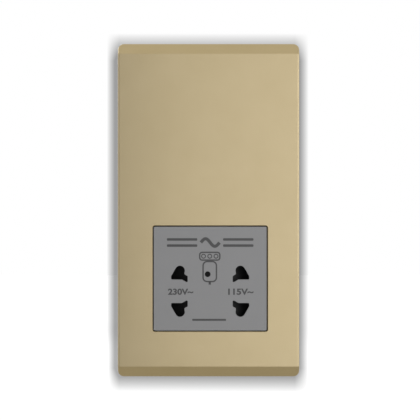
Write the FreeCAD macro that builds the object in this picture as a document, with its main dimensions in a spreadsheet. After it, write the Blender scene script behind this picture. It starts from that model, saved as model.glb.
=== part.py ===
# A two-gang shaver socket for a wall box, with an isolating transformer behind it.
# x runs to the right, y into the wall and z up. The wall face is y = 0, and the origin is
# midway between the two fixing holes. All lengths are in millimetres, all angles in degrees.
import FreeCAD, Part
import math
import os

import Sketcher
from FreeCAD import Placement, Rotation, Vector

SIZES = {
    # Front plate: pressed brass, folded back to the wall on all four sides
    "plate_width": 86,
    "plate_height": 158,
    "plate_depth": 9,
    "plate_wall": 1.2,
    "plate_bevel": 4.8,
    "plate_corner": 2.8,
    "fold_radius": 0.8,
    "window_corner": 0.9,
    "window_edge": 0.35,
    "lug_length": 12,
    "lug_height": 0.6,
    "lug_width": 1.4,
    "lug_rear": 0.9,
    "lug_pitch": 96,
    # Mounting frame, screwed to the wall box; the plate snaps over it
    "fixing_pitch": 120.6,
    "fixing_hole": 4.2,
    "frame_gap": 0.3,
    "frame_thickness": 3,
    "skirt_inset": 3,
    "skirt_wall": 1.6,
    "skirt_gap": 0.4,
    "skirt_drop": 1,
    "rib_wall": 1.4,
    "rib_spacing": 28,
    "lug_gap": 0.2,
    # Socket face: the grey moulding with the pin openings
    "face_width": 53.4,
    "face_height": 49.1,
    "face_shift": 0.75,
    "face_margin": 22.05,
    "face_recess": 0.1,
    "face_gap": 0.4,
    "face_wall": 2.5,
    "face_side": 1.6,
    "face_corner": 0.6,
    "ledge_reach": 1.2,
    "ledge_thickness": 1,
    "flange_length": 40,
    "flange_thickness": 2,
    # Pin openings, each for round pins, stout round pins, flat blades and tilted blades
    "outlet_pitch": 28.6,
    "outlet_rise": 18.55,
    "round_pin_pitch": 19.6,
    "round_pin_hole": 4.6,
    "stout_pin_pitch": 16.66,
    "stout_pin_hole": 5.3,
    "stout_pin_shift": 0.5,
    "flat_pin_pitch": 12.7,
    "flat_slot_width": 1.6,
    "tilted_slot_rise": 7.7,
    "tilted_slot_width": 2.8,
    "tilted_slot_reach": 3.65,
    "slot_tilt": 30,
    "opening_corner": 0.5,
    # Shutters: wedges that the pins push aside against a spring
    "shutter_gap": 0.2,
    "shutter_lap": 0.5,
    "shutter_depth": 8.4,
    "shutter_edge": 1.2,
    "shutter_land": 0.4,
    "shutter_stop": 0.3,
    "spring_block_height": 7.4,
    "tail_thickness": 2,
    "chamber_wall": 1.2,
    "spring_diameter": 3.6,
    "spring_wire": 0.45,
    "spring_turns": 4,
    "spring_gap": 0.1,
    "pocket_gap": 0.3,
    "pocket_end": 1.2,
    "spigot_length": 2,
    "spigot_width": 1.7,
    # Start switches: a cam ramp on each shutter pushes a plunger
    "plunger_offset": 2.4,
    "plunger_width": 1.6,
    "plunger_gap": 0.15,
    "plunger_length": 5.8,
    "cam_rise": 0.8,
    "cam_margin": 1.6,
    "switch_width": 12.8,
    "switch_height": 5.8,
    "switch_depth": 6.5,
    "switch_tag": 3,
    "switch_tag_width": 1.6,
    "switch_tag_pitch": 4.2,
    # Contact carrier and contacts
    "carrier_width": 47,
    "carrier_thickness": 2,
    "carrier_margin": 4,
    "carrier_stake_pitch": 40,
    "carrier_stake_rise": 15,
    "boss_width": 5.6,
    "cell_width": 9.6,
    "cell_height": 10,
    "cell_wall": 1.2,
    "cell_depth": 10.4,
    "contact_width": 5.8,
    "contact_thickness": 0.5,
    "contact_height": 7,
    "contact_pinch": 3.4,
    "contact_rear_gap": 0.6,
    "contact_lip": 1,
    "contact_lead": 2,
    # Rear case
    "case_inset": 0.45,
    "case_depth": 40,
    "case_wall": 2,
    "case_corner": 3,
    "case_edge": 1,
    "step_depth": 26,
    "step_height": 16.5,
    "ear_width": 9,
    "ear_thickness": 3,
    "ear_pitch": 44,
    "ear_drop": 6.05,
    # Transformer on an EI core
    "core_width": 48,
    "core_stack": 20,
    "core_drop": 28.5,
    "core_rear": 8,
    "bobbin_gap": 0.3,
    "bobbin_wall": 1,
    "coil_gap": 0.4,
    "coil_overhang": 6.6,
    "coil_corner": 2,
    "tag_width": 0.8,
    "tag_length": 4,
    "tag_pitch": 6,
    "clamp_thickness": 0.8,
    "clamp_ear": 5,
    "clamp_side_gap": 0.2,
    "clamp_ear_height": 12,
    "cutout_length": 11,
    "cutout_height": 5,
    "cutout_depth": 2.2,
    "cutout_edge": 0.5,
    # Terminals
    "block_width": 44,
    "block_depth": 13,
    "terminal_pitch": 14,
    "terminal_size": 6.4,
    "terminal_length": 9,
    "terminal_gap": 0.2,
    "terminal_cover": 2.2,
    "wire_bore": 3.4,
    "wire_stop": 2.4,
    "terminal_screw_rise": 3.6,
    "tail_width": 3,
    "tail_strip": 0.8,
    "tail_reach": 8,
    "tail_drop": 1.6,
    # Earth clip between the frame and the plate
    "earth_clip_width": 6,
    "earth_clip_foot": 9,
    "earth_clip_rise": 32,
    "earth_clip_inset": 13,
    "earth_clip_tip": 4.5,
    # Heat stakes: moulded pegs melted over the plate they hold
    "stake_width": 2.4,
    "stake_gap": 0.15,
    "stake_head": 4,
    "stake_head_height": 1,
    # Screws and their holes
    "screw_diameter": 2.5,
    "screw_head": 4.8,
    "screw_head_height": 1.8,
    "screw_gap": 0.1,
    "screw_bite": 6,
    "screw_slot": 0.8,
    "screw_slot_depth": 0.7,
}

# Two levels or places closer than this are one
SAME_PLACE = 1e-4
WIRE_SIDES = 4
FULL_TURN = 360

doc = FreeCAD.newDocument("shaver_socket")
sheet = doc.addObject("Spreadsheet::Sheet", "Sizes")
for row, (alias, number) in enumerate(SIZES.items(), start=1):
    sheet.set(f"A{row}", alias)
    sheet.set(f"B{row}", str(number))
    sheet.setAlias(f"B{row}", alias)
doc.recompute()


class Length:
    """A number together with the formula over the sheet's cells that gives it."""

    def __init__(self, number, formula):
        self.number = number
        self.formula = formula

    def __add__(self, other):
        return Length(self.number + number_of(other), f"({self.formula} + {formula_of(other)})")

    def __radd__(self, other):
        return Length(number_of(other) + self.number, f"({formula_of(other)} + {self.formula})")

    def __sub__(self, other):
        return Length(self.number - number_of(other), f"({self.formula} - {formula_of(other)})")

    def __rsub__(self, other):
        return Length(number_of(other) - self.number, f"({formula_of(other)} - {self.formula})")

    def __mul__(self, other):
        return Length(self.number * number_of(other), f"({self.formula} * {formula_of(other)})")

    def __rmul__(self, other):
        return Length(number_of(other) * self.number, f"({formula_of(other)} * {self.formula})")

    def __truediv__(self, other):
        return Length(self.number / number_of(other), f"({self.formula} / {formula_of(other)})")

    def __neg__(self):
        return Length(-self.number, f"(0 - {self.formula})")


def number_of(value):
    return value.number if isinstance(value, Length) else value


def formula_of(value):
    return value.formula if isinstance(value, Length) else f"({value})"


def sine(angle):
    return Length(math.sin(math.radians(angle.number)), f"sin({angle.formula})")


def cosine(angle):
    return Length(math.cos(math.radians(angle.number)), f"cos({angle.formula})")


def tangent(angle):
    return Length(math.tan(math.radians(angle.number)), f"tan({angle.formula})")


class Cells:
    """The sheet's cells, read by name as lengths."""

    def __getattr__(self, alias):
        return Length(float(sheet.get(alias)), f"Sizes.{alias}")


size = Cells()
pieces = []
ZERO = Length(0, "0")

# An origin plane for each axis, and whether the plane's own normal points back along that axis
PLANES = {"X": ("YZ_Plane", 1), "Y": ("XZ_Plane", -1), "Z": ("XY_Plane", 1)}

# Takes a sketch's own x and y to the object's y and z
SIDE_VIEW = Rotation(Vector(1, 1, 1), 120)


def bind(target, path, value):
    """Tie a property to a length's formula."""
    target.setExpression(path, formula_of(value))


def new_body(name):
    body = doc.addObject("PartDesign::Body", name)
    body.Label = name
    return body


def new_piece(name):
    """A body that is written out as a piece of the object."""
    body = new_body(name)
    pieces.append(body)
    return body


def add_sketch(body, axis, level, origin=(0, 0)):
    """A sketch square to an axis at a level along it, its own origin moved within the plane."""
    role, sign = PLANES[axis]
    plane = next(item for item in body.Origin.OriginFeatures if item.Role == role)
    sketch = body.newObject("Sketcher::SketchObject", "Outline")
    sketch.AttachmentSupport = [(plane, "")]
    sketch.MapMode = "FlatFace"
    bind(sketch, "AttachmentOffset.Base.x", origin[0])
    bind(sketch, "AttachmentOffset.Base.y", origin[1])
    bind(sketch, "AttachmentOffset.Base.z", sign * level)
    return sketch


def hold(sketch, kind, geometry, point, value):
    """Fix one coordinate of a point, measured from the sketch's origin."""
    rule = Sketcher.Constraint(kind, -1, 1, geometry, point, number_of(value))
    index = sketch.addConstraint(rule)
    bind(sketch, f"Constraints[{index}]", value)


def draw_corners(sketch, corners):
    """A closed outline of straight sides."""
    first = sketch.GeometryCount
    points = [Vector(number_of(a), number_of(b), 0) for a, b in corners]
    for start, end in zip(points, points[1:] + points[:1]):
        sketch.addGeometry(Part.LineSegment(start, end))
    for index, (a, b) in enumerate(corners):
        after = first + (index + 1) % len(corners)
        sketch.addConstraint(Sketcher.Constraint("Coincident", first + index, 2, after, 1))
        hold(sketch, "DistanceX", first + index, 1, a)
        hold(sketch, "DistanceY", first + index, 1, b)


def draw_circle(sketch, centre, radius):
    middle = Vector(number_of(centre[0]), number_of(centre[1]), 0)
    index = sketch.addGeometry(Part.Circle(middle, Vector(0, 0, 1), number_of(radius)))
    hold(sketch, "DistanceX", index, 3, centre[0])
    hold(sketch, "DistanceY", index, 3, centre[1])
    rule = sketch.addConstraint(Sketcher.Constraint("Radius", index, number_of(radius)))
    bind(sketch, f"Constraints[{rule}]", radius)


def box(low_a, high_a, low_b, high_b):
    return [(low_a, low_b), (high_a, low_b), (high_a, high_b), (low_a, high_b)]


def centred_box(a, b, width, height):
    return box(a - width / 2, a + width / 2, b - height / 2, b + height / 2)


def disc(a, b, diameter):
    return {"centre": (a, b), "radius": diameter / 2}


def draw(sketch, shapes):
    for shape in shapes:
        if isinstance(shape, dict):
            draw_circle(sketch, shape["centre"], shape["radius"])
        else:
            draw_corners(sketch, shape)


def volume_of(body):
    return 0 if body.Shape.isNull() else body.Shape.Volume


def finish_feature(body, feature, before, grows):
    """Recompute, and stop if the feature failed or changed nothing."""
    doc.recompute()
    change = volume_of(body) - before
    if "Invalid" in feature.State or "Error" in feature.State:
        raise RuntimeError(f"{body.Label}: {feature.Label} failed")
    if (change if grows else -change) <= 0:
        raise RuntimeError(f"{body.Label}: {feature.Label} changed nothing")
    return feature


def add_pad(body, axis, start, end, *shapes):
    """Material from start to end along an axis, on the shapes' outline."""
    before = volume_of(body)
    sketch = add_sketch(body, axis, end if axis == "Y" else start)
    draw(sketch, shapes)
    pad = body.newObject("PartDesign::Pad", "Pad")
    pad.Profile = sketch
    bind(pad, "Length", end - start)
    return finish_feature(body, pad, before, True)


def add_cut(body, axis, start, end, *shapes):
    """Material taken away from start to end along an axis."""
    before = volume_of(body)
    sketch = add_sketch(body, axis, start if axis == "Y" else end)
    draw(sketch, shapes)
    pocket = body.newObject("PartDesign::Pocket", "Pocket")
    pocket.Profile = sketch
    bind(pocket, "Length", end - start)
    return finish_feature(body, pocket, before, False)


def add_turned(body, centre, profile):
    """A profile of (radius, y) points turned about an axis along y through (x, z)."""
    before = volume_of(body)
    sketch = add_sketch(body, "Z", centre[1], (centre[0], 0))
    draw_corners(sketch, profile)
    turned = body.newObject("PartDesign::Revolution", "Turned")
    turned.Profile = sketch
    turned.ReferenceAxis = (sketch, ["V_Axis"])
    turned.Angle = FULL_TURN
    return finish_feature(body, turned, before, True)


def finish_edges(body, kind, amount, value, wanted):
    """Round or bevel the edges of a body that a test picks."""
    doc.recompute()
    names = [f"Edge{i}" for i, edge in enumerate(body.Shape.Edges, start=1) if wanted(edge)]
    if not names:
        raise RuntimeError(f"{body.Label}: no edge to finish")
    base = body.Tip
    feature = body.newObject(f"PartDesign::{kind}", kind)
    feature.Base = (base, names)
    bind(feature, amount, value)
    doc.recompute()
    if "Invalid" in feature.State or "Error" in feature.State:
        raise RuntimeError(f"{body.Label}: {kind} failed")


def round_edges(body, radius, wanted):
    finish_edges(body, "Fillet", "Radius", radius, wanted)


def bevel_edges(body, width, wanted):
    finish_edges(body, "Chamfer", "Size", width, wanted)


def runs_along_y(edge, places):
    """Whether an edge runs along y through one of the (x, z) places."""
    bounds = edge.BoundBox
    if bounds.XLength > SAME_PLACE or bounds.ZLength > SAME_PLACE:
        return False
    near = ((abs(bounds.XMin - number_of(x)), abs(bounds.ZMin - number_of(z))) for x, z in places)
    return any(max(gap) < SAME_PLACE for gap in near)


def lies_at_y(edge, level):
    bounds = edge.BoundBox
    return bounds.YLength < SAME_PLACE and abs(bounds.YMin - number_of(level)) < SAME_PLACE


def subtract(body, tool):
    """Take the form of another body away from a body."""
    before = volume_of(body)
    cut = body.newObject("PartDesign::Boolean", "Hollow")
    cut.Type = "Cut"
    cut.addObjects([tool])
    return finish_feature(body, cut, before, False)


def sides(*values):
    """Every value with both signs."""
    return [sign * value for value in values for sign in (-1, 1)]


# Levels along y, from the front backwards
PLATE_FRONT = -size.plate_depth
PLATE_INSIDE = PLATE_FRONT + size.plate_wall
FACE_FRONT = PLATE_FRONT + size.face_recess
FACE_INSIDE = FACE_FRONT + size.face_wall
SHUTTER_FRONT = FACE_INSIDE + size.shutter_gap
SHUTTER_REAR = SHUTTER_FRONT + size.shutter_depth
CARRIER_FRONT = SHUTTER_REAR + size.shutter_gap
CARRIER_REAR = CARRIER_FRONT + size.carrier_thickness
CASE_INSIDE = size.case_depth - size.case_wall

# Places on the face
FACE_X = size.face_shift
FACE_LOW = -size.plate_height / 2 + size.face_margin
FACE_Z = FACE_LOW + size.face_height / 2
OUTLET_Z = FACE_LOW + size.outlet_rise
GANGS = {"230v": -1, "115v": 1}
ROWS = {"upper": 1, "lower": -1}

# The rear case is as wide as the transformer with its clamp needs. Its lower end is a little
# inside the face's, and its screws go in just below the face, with the same above.
CLAMP_HALF = size.core_width / 2 + size.clamp_thickness + size.clamp_ear
CASE_HALF = CLAMP_HALF + size.clamp_side_gap + size.case_wall
CASE_RISE = -FACE_LOW - size.case_inset
EAR_RISE = -FACE_LOW + size.ear_drop
CORE_RISE = CASE_RISE - size.core_drop


def outlet_x(gang):
    return FACE_X + gang * size.outlet_pitch / 2


# The pin opening's own outline, measured from the middle of its outlet: x towards the face's
# middle, z away from the outlet's middle
ROUND_RADIUS = size.round_pin_hole / 2
ROUND_RISE = size.round_pin_pitch / 2
TILT_SLOPE = tangent(size.slot_tilt)
LEG_RISE = size.tilted_slot_rise - size.tilted_slot_reach * TILT_SLOPE
LEG_HALF = size.tilted_slot_width / 2 / cosine(size.slot_tilt)
FLAT_LOW = (size.flat_pin_pitch - size.flat_slot_width) / 2
FLAT_HIGH = (size.flat_pin_pitch + size.flat_slot_width) / 2
FLANK_X = -ROUND_RADIUS * cosine(size.slot_tilt)
FLANK_Z = ROUND_RISE + ROUND_RADIUS * sine(size.slot_tilt)
OUTER_REACH = -FLANK_X + (FLANK_Z - FLAT_HIGH) * TILT_SLOPE
INNER_REACH = size.tilted_slot_reach
OPENING_CORNERS = [
    (INNER_REACH, LEG_RISE + LEG_HALF),
    (INNER_REACH, LEG_RISE - LEG_HALF),
    (INNER_REACH - (FLAT_LOW - LEG_RISE + LEG_HALF) / TILT_SLOPE, FLAT_LOW),
    (-OUTER_REACH, FLAT_LOW),
    (-OUTER_REACH, FLAT_HIGH),
    (FLANK_X, FLANK_Z),
    (0, LEG_RISE + LEG_HALF + INNER_REACH * TILT_SLOPE),
]
ROUNDED_CORNERS = [OPENING_CORNERS[i] for i in (0, 1, 3, 4)]

# The shutter's own outline, measured the same way
SHUTTER_OUTER = OUTER_REACH + size.shutter_lap
SHUTTER_INNER = INNER_REACH + size.shutter_lap
SHUTTER_HALF = ROUND_RISE + ROUND_RADIUS + size.shutter_lap
SHUTTER_TRAVEL = SHUTTER_OUTER + INNER_REACH
RIB_HALF = size.outlet_pitch / 2 - SHUTTER_INNER - SHUTTER_TRAVEL - size.shutter_stop
BLOCK_HALF = size.spring_block_height / 2
SPRING_Y = SHUTTER_FRONT + size.shutter_depth / 2
CAM_END = size.plunger_offset - SHUTTER_TRAVEL
CAM_SLOPE = size.cam_rise / SHUTTER_TRAVEL
TAIL_REACH = -CAM_END + size.cam_margin + size.plunger_width / 2
CHAMBER_HALF = SHUTTER_HALF + size.shutter_gap
CHAMBER_REACH = size.outlet_pitch / 2 + SHUTTER_OUTER + size.shutter_gap


def place(gang, row, point):
    """A point of an outlet's own outline, in the object's x and z."""
    return outlet_x(gang) - gang * point[0], OUTLET_Z + row * point[1]


def opening_places(points):
    """The points of one opening, for all four openings."""
    return [place(gang, row, p) for gang in GANGS.values() for row in ROWS.values() for p in points]


def ordered(a, b):
    """Two lengths, the lower first."""
    return (a, b) if number_of(a) < number_of(b) else (b, a)


def span_box(a, b, c, d):
    """A box between two lengths each way, given in any order."""
    return box(*ordered(a, b), *ordered(c, d))


# Front plate

def plate_form(body, inset):
    """The plate's outer form, drawn in by an inset all over, the 45 degree bevels too."""
    half_width = size.plate_width / 2 - inset
    half_height = size.plate_height / 2 - inset
    front = PLATE_FRONT + inset
    bevel = size.plate_bevel - inset * (2 - math.sqrt(2))
    add_pad(body, "Y", front, 0, box(-half_width, half_width, -half_height, half_height))
    corners = [(x, z) for x in sides(half_width) for z in sides(half_height)]
    round_edges(body, size.plate_corner - inset, lambda edge: runs_along_y(edge, corners))
    for side in (-1, 1):
        fold = [
            (front, side * (half_height - bevel)),
            (front, side * half_height),
            (front + bevel, side * half_height),
        ]
        add_cut(body, "X", -half_width, half_width, fold)


def boss(x, z):
    """A square post for a screw."""
    return centred_box(x, z, size.boss_width, size.boss_width)


def add_stake(piece, x, z, seat, thickness, way):
    """A peg through a plate that lies on a seat, its end spread into a head."""
    top = seat + way * thickness
    end = top + way * size.stake_head_height
    add_pad(piece, "Y", *ordered(seat, top), centred_box(x, z, size.stake_width, size.stake_width))
    add_pad(piece, "Y", *ordered(top, end), centred_box(x, z, size.stake_head, size.stake_head))


def stake_hole(x, z):
    width = size.stake_width + 2 * size.stake_gap
    return centred_box(x, z, width, width)


def face_opening(clearance):
    return centred_box(FACE_X, FACE_Z, size.face_width + 2 * clearance, size.face_height + 2 * clearance)


def make_front_plate():
    """Pressed brass cover: bevelled top and bottom, a window, and four lugs inside its edges."""
    cavity = new_body("plate_cavity")
    plate_form(cavity, size.plate_wall)
    plate = new_piece("front_plate")
    plate_form(plate, ZERO)
    round_edges(plate, size.fold_radius, lambda edge: edge.BoundBox.YMax < -SAME_PLACE)
    subtract(plate, cavity)
    window = face_opening(size.face_gap)
    add_cut(plate, "Y", PLATE_FRONT, PLATE_INSIDE, window)
    round_edges(plate, size.window_corner, lambda edge: runs_along_y(edge, window))
    half_width = number_of(size.face_width / 2 + size.face_gap) + SAME_PLACE
    half_height = number_of(size.face_height / 2 + size.face_gap) + SAME_PLACE

    def round_window(edge):
        centre = edge.CenterOfMass
        across = abs(centre.x - number_of(FACE_X))
        along = abs(centre.z - number_of(FACE_Z))
        return across < half_width and along < half_height and lies_at_y(edge, PLATE_FRONT)

    bevel_edges(plate, size.window_edge, round_window)
    inside = size.plate_width / 2 - size.plate_wall
    for x_side in (-1, 1):
        lug = [
            (x_side * inside, -size.lug_rear - size.lug_width),
            (x_side * inside, -size.lug_rear),
            (x_side * (inside - size.lug_height), -size.lug_rear - size.lug_width / 2),
        ]
        for z in sides(size.lug_pitch / 2):
            add_pad(plate, "Z", z - size.lug_length / 2, z + size.lug_length / 2, lug)


# Mounting frame

def make_mounting_frame():
    """Moulded frame behind the plate, with a stiffening skirt, ribs and screw bosses."""
    frame = new_piece("mounting_frame")
    half_width = size.plate_width / 2 - size.plate_wall - size.frame_gap
    half_height = size.plate_height / 2 - size.plate_wall - size.frame_gap
    front = -size.frame_thickness
    rib_front = PLATE_INSIDE + size.skirt_gap
    add_pad(frame, "Y", front, 0, box(-half_width, half_width, -half_height, half_height))
    corners = [(x, z) for x in sides(half_width) for z in sides(half_height)]
    corner_radius = size.plate_corner - size.plate_wall - size.frame_gap
    round_edges(frame, corner_radius, lambda edge: runs_along_y(edge, corners))
    skirt_width = half_width - size.skirt_inset
    skirt_height = size.plate_height / 2 - size.plate_bevel - size.skirt_drop
    skirt = box(-skirt_width, skirt_width, -skirt_height, skirt_height)
    inner_width = skirt_width - size.skirt_wall
    inner_height = skirt_height - size.skirt_wall
    inner = box(-inner_width, inner_width, -inner_height, inner_height)
    add_pad(frame, "Y", rib_front, front, skirt, inner)
    rib_low = FACE_Z + size.face_height / 2 + size.face_gap
    half_rib = size.rib_wall / 2
    for x in sides(size.rib_spacing / 2):
        rib = box(x - half_rib, x + half_rib, rib_low, inner_height)
        add_pad(frame, "Y", rib_front, front, rib)
    cross = box(-inner_width, inner_width, size.rib_spacing - half_rib, size.rib_spacing + half_rib)
    add_pad(frame, "Y", rib_front, front, cross)
    screws = [(x, z) for x in sides(size.ear_pitch / 2) for z in sides(EAR_RISE)]
    add_pad(frame, "Y", rib_front, front, *[boss(x, z) for x, z in screws])
    pilot = size.screw_diameter + 2 * size.screw_gap
    add_cut(frame, "Y", front - size.screw_bite / 2, 0, *[disc(x, z, pilot) for x, z in screws])
    fixings = [disc(0, z, size.fixing_hole) for z in sides(size.fixing_pitch / 2)]
    add_cut(frame, "Y", front, 0, *fixings)
    add_cut(frame, "Y", front, 0, face_opening(-size.ledge_reach))
    add_cut(frame, "Y", front, -size.ledge_thickness, face_opening(size.face_gap))
    passage = centred_box(
        FACE_X,
        FACE_Z,
        size.face_width + 2 * size.face_gap,
        size.flange_length + 2 * size.shutter_gap,
    )
    add_cut(frame, "Y", -size.ledge_thickness, 0, passage)
    lug_end = half_width - size.lug_height - size.lug_gap
    lug_low = -size.lug_rear - size.lug_width - size.lug_gap
    for x_side in (-1, 1):
        notch = span_box(x_side * lug_end, x_side * half_width, lug_low, -size.lug_rear + size.lug_gap)
        for z in sides(size.lug_pitch / 2):
            reach = size.lug_length / 2 + size.lug_gap
            add_cut(frame, "Z", z - reach, z + reach, notch)


# Socket face

def make_socket_face():
    """Grey face moulding: four pin openings, and behind them the chamber that guides the shutters."""
    face = new_piece("socket_face")
    outline = face_opening(ZERO)
    add_pad(face, "Y", FACE_FRONT, 0, outline)
    round_edges(face, size.face_corner, lambda edge: runs_along_y(edge, outline))
    inner = face_opening(-size.face_side)
    add_cut(face, "Y", FACE_INSIDE, 0, inner)
    for z_side in (-1, 1):
        above_ledge = span_box(
            FACE_X - size.face_width / 2,
            FACE_X + size.face_width / 2,
            FACE_Z + z_side * size.flange_length / 2,
            FACE_Z + z_side * size.face_height / 2,
        )
        add_cut(face, "Y", -size.ledge_thickness, 0, above_ledge)
    for x_side in (-1, 1):
        start = FACE_X + x_side * (size.face_width / 2 - size.face_side)
        flange = span_box(
            start,
            x_side * CASE_HALF,
            FACE_Z - size.flange_length / 2,
            FACE_Z + size.flange_length / 2,
        )
        add_pad(face, "Y", ZERO, size.flange_thickness, flange)
    add_openings(face)
    add_shutter_chamber(face)
    stakes = carrier_stake_places()
    add_pad(face, "Y", FACE_INSIDE, CARRIER_FRONT, *[boss(x, z) for x, z in stakes])
    for x, z in stakes:
        add_stake(face, x, z, CARRIER_FRONT, size.carrier_thickness, 1)


def carrier_stake_places():
    x_places = [FACE_X + x for x in sides(size.carrier_stake_pitch / 2)]
    return [(x, FACE_Z + size.carrier_stake_rise) for x in x_places]


def add_openings(face):
    """Each opening is the union of a blade outline and two round holes."""
    span = (FACE_FRONT, FACE_INSIDE)
    outlets = [(gang, row) for gang in GANGS.values() for row in ROWS.values()]
    slots = [[place(gang, row, point) for point in OPENING_CORNERS] for gang, row in outlets]
    add_cut(face, "Y", *span, *slots)
    rounded = opening_places(ROUNDED_CORNERS)
    round_edges(face, size.opening_corner, lambda edge: runs_along_y(edge, rounded))
    round_places = opening_places([(0, ROUND_RISE)])
    add_cut(face, "Y", *span, *[disc(x, z, size.round_pin_hole) for x, z in round_places])
    stout_places = opening_places([(-size.stout_pin_shift, size.stout_pin_pitch / 2)])
    add_cut(face, "Y", *span, *[disc(x, z, size.stout_pin_hole) for x, z in stout_places])


def add_shutter_chamber(face):
    """Walls round both shutters, a rib between them and the seats of their springs."""
    reach = CHAMBER_REACH + size.chamber_wall
    half = CHAMBER_HALF + size.chamber_wall
    walls = box(FACE_X - reach, FACE_X + reach, OUTLET_Z - half, OUTLET_Z + half)
    rooms = [
        span_box(
            FACE_X + gang * RIB_HALF,
            FACE_X + gang * CHAMBER_REACH,
            OUTLET_Z - CHAMBER_HALF,
            OUTLET_Z + CHAMBER_HALF,
        )
        for gang in GANGS.values()
    ]
    add_pad(face, "Y", FACE_INSIDE, CARRIER_FRONT, walls, *rooms)
    notch_half = BLOCK_HALF + size.shutter_gap
    notch_front = SHUTTER_REAR - size.tail_thickness - size.shutter_gap
    for gang in GANGS.values():
        gap = span_box(
            FACE_X + gang * CHAMBER_REACH,
            FACE_X + gang * reach,
            OUTLET_Z - notch_half,
            OUTLET_Z + notch_half,
        )
        add_cut(face, "Y", notch_front, CARRIER_FRONT, gap)
    spigot = centred_box(SPRING_Y, OUTLET_Z, size.spigot_width, size.spigot_width)
    spigot_reach = RIB_HALF + size.spigot_length
    add_pad(face, "X", FACE_X - spigot_reach, FACE_X + spigot_reach, spigot)


# Shutters and their springs

def make_shutter(voltage):
    """Two wedges joined by a block that holds the spring, with a cam ramp along the back."""
    gang = GANGS[voltage]
    shutter = new_piece(f"shutter_{voltage}")

    def across(a, b, low, high):
        return span_box(
            outlet_x(gang) - gang * a, outlet_x(gang) - gang * b, OUTLET_Z + low, OUTLET_Z + high
        )

    body = across(-SHUTTER_OUTER, SHUTTER_INNER, -SHUTTER_HALF, SHUTTER_HALF)
    add_pad(shutter, "Y", SHUTTER_FRONT, SHUTTER_REAR, body)
    tail = across(-TAIL_REACH, -SHUTTER_OUTER, -BLOCK_HALF, BLOCK_HALF)
    add_pad(shutter, "Y", SHUTTER_REAR - size.tail_thickness, SHUTTER_REAR, tail)
    wedge = [
        (outlet_x(gang) + gang * SHUTTER_OUTER, SHUTTER_FRONT),
        (outlet_x(gang) - gang * (SHUTTER_INNER - size.shutter_land), SHUTTER_FRONT),
        (outlet_x(gang) + gang * SHUTTER_OUTER, SHUTTER_REAR - size.shutter_edge),
    ]
    add_cut(shutter, "Z", OUTLET_Z + BLOCK_HALF, OUTLET_Z + SHUTTER_HALF, wedge)
    add_cut(shutter, "Z", OUTLET_Z - SHUTTER_HALF, OUTLET_Z - BLOCK_HALF, wedge)
    pocket_ends = ordered(
        outlet_x(gang) + gang * (SHUTTER_OUTER - size.pocket_end), outlet_x(gang) - gang * SHUTTER_INNER
    )
    pocket = disc(SPRING_Y, OUTLET_Z, size.spring_diameter + 2 * size.pocket_gap)
    add_cut(shutter, "X", *pocket_ends, pocket)
    ramp_start = size.plunger_offset + size.plunger_width
    ramp_end = CAM_END - size.plunger_width

    def ramp(x):
        return SHUTTER_REAR - size.plunger_gap - (x - CAM_END) * CAM_SLOPE

    groove = [
        (outlet_x(gang) - gang * ramp_start, ramp(ramp_start)),
        (outlet_x(gang) - gang * ramp_end, ramp(ramp_end)),
        (outlet_x(gang) - gang * ramp_end, SHUTTER_REAR + size.plunger_gap),
        (outlet_x(gang) - gang * ramp_start, SHUTTER_REAR + size.plunger_gap),
    ]
    add_cut(shutter, "Z", OUTLET_Z - size.plunger_width, OUTLET_Z + size.plunger_width, groove)


def make_shutter_spring(voltage):
    """Coil spring between the shutter's pocket and the rib in the face's middle."""
    gang = GANGS[voltage]
    outer_end = outlet_x(gang) + gang * (SHUTTER_OUTER - size.pocket_end - size.spring_gap)
    inner_end = FACE_X + gang * (RIB_HALF + size.spring_gap)
    low, high = ordered(outer_end, inner_end)
    wire_radius = size.spring_wire / 2
    coil_radius = size.spring_diameter / 2 - wire_radius
    height = high - low - size.spring_wire
    helix = doc.addObject("Part::Helix", f"coil_{voltage}")
    bind(helix, "Radius", coil_radius)
    bind(helix, "Height", height)
    bind(helix, "Pitch", height / size.spring_turns)
    section = doc.addObject("Part::RegularPolygon", f"wire_{voltage}")
    section.Polygon = WIRE_SIDES
    bind(section, "Circumradius", wire_radius)
    bind(section, "Placement.Base.x", coil_radius)
    section.Placement.Rotation = Rotation(Vector(1, 0, 0), 90)
    spring = doc.addObject("Part::Sweep", f"shutter_spring_{voltage}")
    spring.Sections = [section]
    spring.Spine = (helix, [])
    spring.Solid = True
    spring.Frenet = True
    spring.Placement.Rotation = Rotation(Vector(0, 1, 0), 90)
    bind(spring, "Placement.Base.x", low + wire_radius)
    bind(spring, "Placement.Base.y", SPRING_Y)
    bind(spring, "Placement.Base.z", OUTLET_Z)
    spring.Label = f"shutter_spring_{voltage}"
    pieces.append(spring)


# Contact carrier, contacts and start switches

CELL_RISE = FLAT_LOW - size.cell_wall + size.cell_height / 2 - size.shutter_lap
CELL_REAR = CARRIER_REAR + size.cell_depth


def cell_place(gang, row):
    return outlet_x(gang), OUTLET_Z + row * CELL_RISE


def make_contact_carrier():
    """Moulded plate behind the shutters, with a walled cell behind each pin opening."""
    carrier = new_piece("contact_carrier")
    left = FACE_X - size.carrier_width / 2
    low = OUTLET_Z - CHAMBER_HALF - size.chamber_wall
    high = FACE_Z + size.carrier_stake_rise + size.carrier_margin
    add_pad(carrier, "Y", CARRIER_FRONT, CARRIER_REAR, box(left, left + size.carrier_width, low, high))
    cells = [cell_place(gang, row) for gang in GANGS.values() for row in ROWS.values()]
    walls = [centred_box(x, z, size.cell_width, size.cell_height) for x, z in cells]
    add_pad(carrier, "Y", CARRIER_REAR, CELL_REAR, *walls)
    room = (size.cell_width - 2 * size.cell_wall, size.cell_height - 2 * size.cell_wall)
    add_cut(carrier, "Y", CARRIER_FRONT, CELL_REAR, *[centred_box(x, z, *room) for x, z in cells])
    holes = [stake_hole(x, z) for x, z in carrier_stake_places()]
    holes += [plunger_section(gang, size.plunger_gap) for gang in GANGS.values()]
    add_cut(carrier, "Y", CARRIER_FRONT, CARRIER_REAR, *holes)


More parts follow.
